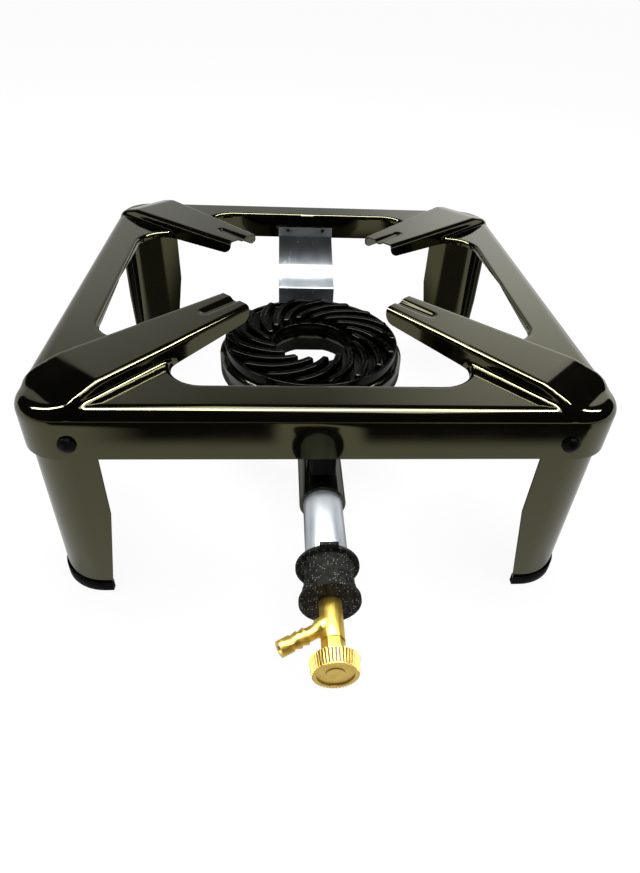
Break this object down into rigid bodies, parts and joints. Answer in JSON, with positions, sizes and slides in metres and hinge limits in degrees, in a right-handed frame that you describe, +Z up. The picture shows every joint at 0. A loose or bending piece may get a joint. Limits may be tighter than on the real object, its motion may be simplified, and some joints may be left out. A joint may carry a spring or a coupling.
{
  "type": "single-burner gas stove",
  "caption": "Low free-standing gas ring: square pressed frame on folded legs, pan arms, cast swirl burner, mixing tube, air shutter and needle valve with knob.",
  "frame": {"origin": "on the floor, midway between the four feet, below the middle of the burner", "axes": "+Z up; -Y along the gas line towards the control knob; +X to the right of someone facing the knob"},
  "size_m": [0.408, 0.5363, 0.182],
  "materials": {
    "black_enamel": "gloss",
    "black_casting": "gloss paint",
    "rough_casting": "as cast, black",
    "zinc_plate": "bright plate",
    "black_bolt": "satin",
    "steel": "satin",
    "brass": "machined",
    "black_plastic": "matte",
    "packing": "matte"
  },
  "bodies": {
    "stand": {"frame_pressing": "black_enamel", "leg_bolts": "black_bolt", "leg_nuts": "steel", "burner_body": "black_casting", "burner_cap": "black_casting", "rear_bracket": "zinc_plate", "front_bracket": "black_enamel", "bracket_rivets": "steel", "rear_bracket_screw": "steel", "front_bracket_screw": "steel", "mixing_tube": "zinc_plate", "injector_housing": "rough_casting", "gas_jet": "brass", "valve_body": "brass", "gland_packing": "packing", "gland_nut": "brass", "leg_rear_right": "black_enamel", "foot_cap_rear_right": "black_plastic", "leg_rear_left": "black_enamel", "foot_cap_rear_left": "black_plastic", "leg_front_left": "black_enamel", "foot_cap_front_left": "black_plastic", "leg_front_right": "black_enamel", "foot_cap_front_right": "black_plastic"},
    "knob": {"control_knob": "brass", "valve_spindle": "brass"},
    "shutter": {"air_shutter": "rough_casting"}
  },
  "joints": [
    {"name": "knob_turn", "type": "hinge", "parent": "stand", "child": "knob", "pos_m": [0, -0.3279, 0.096], "axis": [0, -1, 0], "range_deg": [0, 540]},
    {"name": "shutter_turn", "type": "hinge", "parent": "stand", "child": "shutter", "pos_m": [0, -0.27, 0.096], "axis": [0, -1, 0], "range_deg": [0, 65]}
  ]
}
